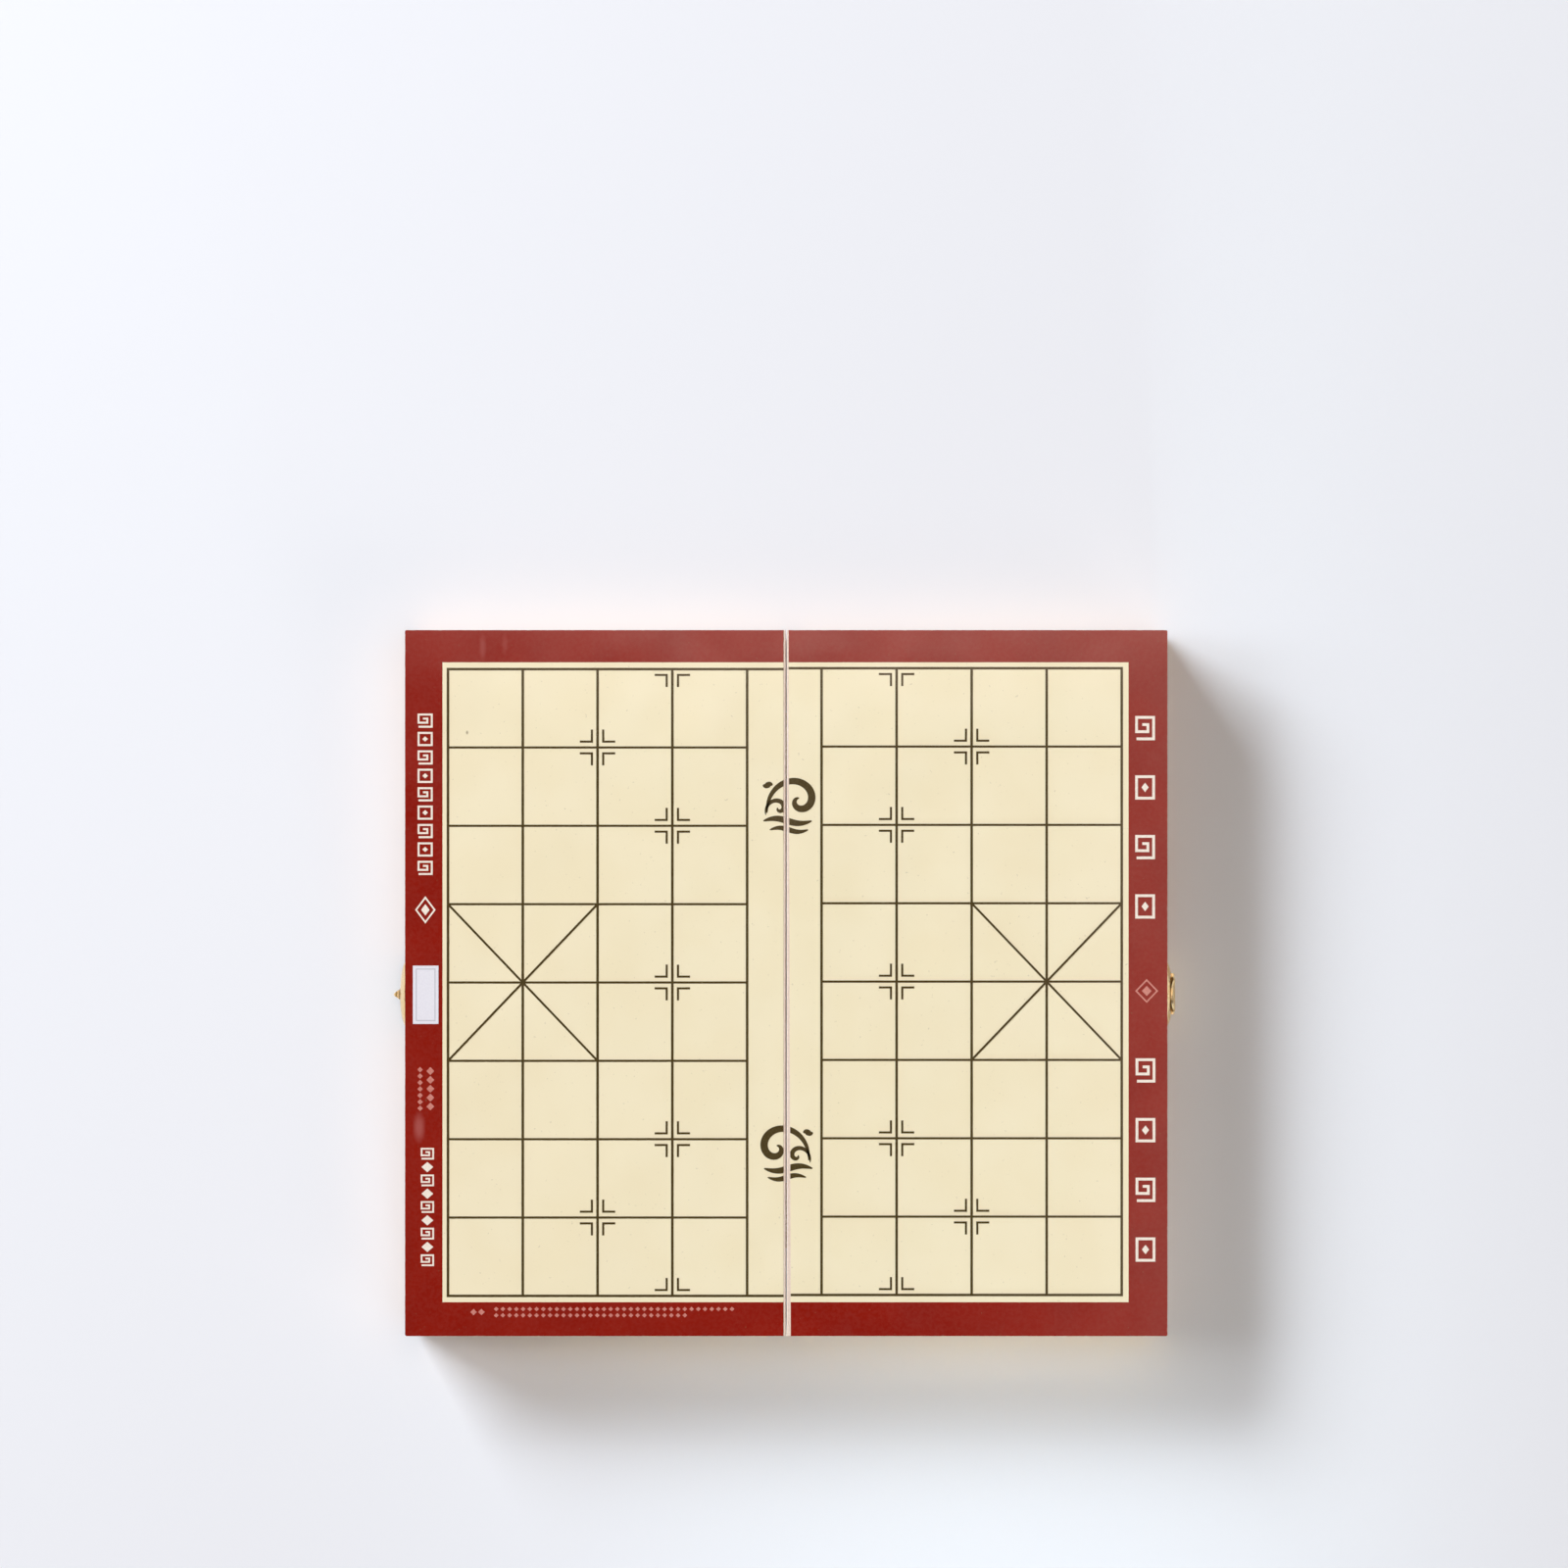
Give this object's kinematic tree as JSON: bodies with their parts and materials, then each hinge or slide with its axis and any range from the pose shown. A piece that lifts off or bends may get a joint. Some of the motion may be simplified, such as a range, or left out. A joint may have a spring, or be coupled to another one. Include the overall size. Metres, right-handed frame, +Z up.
{
  "type": "folding board game box",
  "caption": "Folding xiangqi board box: two shallow wooden trays hinged along one edge, printed playing board outside, hook clasp on the front.",
  "frame": {"origin": "middle of the seam in plan, at the level of the lowest point of the hinge barrels, with the board unfolded flat", "axes": "+X across the seam towards the half with the clasp flap, +Y along the seam, +Z up out of the printed faces"},
  "size_m": [0.3912, 0.35, 0.0265],
  "materials": {
    "fibreboard": "raw sanded fibreboard, pale pinkish beige",
    "printed_sheet": "gloss laminated print, cream field with a dark red border",
    "pale_wood": "pale close-grained wood, thin clear lacquer",
    "hinge_brass": "thin brass-plated steel, lightly worn",
    "screw_steel": "bright zinc",
    "clasp_gilt": "gilt-plated pressed steel, satin"
  },
  "bodies": {
    "left_half": {"left_panel": "fibreboard", "left_print": "printed_sheet", "left_front_wall": "pale_wood", "left_hinge_wall": "pale_wood", "left_far_wall": "pale_wood", "left_near_wall": "pale_wood", "far_hinge_left_leaf": "hinge_brass", "near_hinge_left_leaf": "hinge_brass", "far_hinge_pin": "hinge_brass", "near_hinge_pin": "hinge_brass", "left_hinge_screws": "screw_steel", "catch_plate": "clasp_gilt", "catch_nails": "clasp_gilt"},
    "right_half": {"right_panel": "fibreboard", "right_print": "printed_sheet", "right_front_wall": "pale_wood", "right_hinge_wall": "pale_wood", "right_far_wall": "pale_wood", "right_near_wall": "pale_wood", "far_hinge_right_leaf": "hinge_brass", "near_hinge_right_leaf": "hinge_brass", "right_hinge_screws": "screw_steel", "clasp_plate": "clasp_gilt", "clasp_pin": "clasp_gilt", "clasp_nails": "clasp_gilt"},
    "clasp_flap": {"clasp_flap": "clasp_gilt"}
  },
  "joints": [
    {"name": "fold", "type": "hinge", "parent": "left_half", "child": "right_half", "pos_m": [0, 0, 0.00125], "axis": [0, 1, 0], "range_deg": [0, 180]},
    {"name": "clasp", "type": "hinge", "parent": "right_half", "child": "clasp_flap", "pos_m": [0.19365, -0.0066, 0.0027], "axis": [0, 1, 0], "range_deg": [0, 180]}
  ]
}
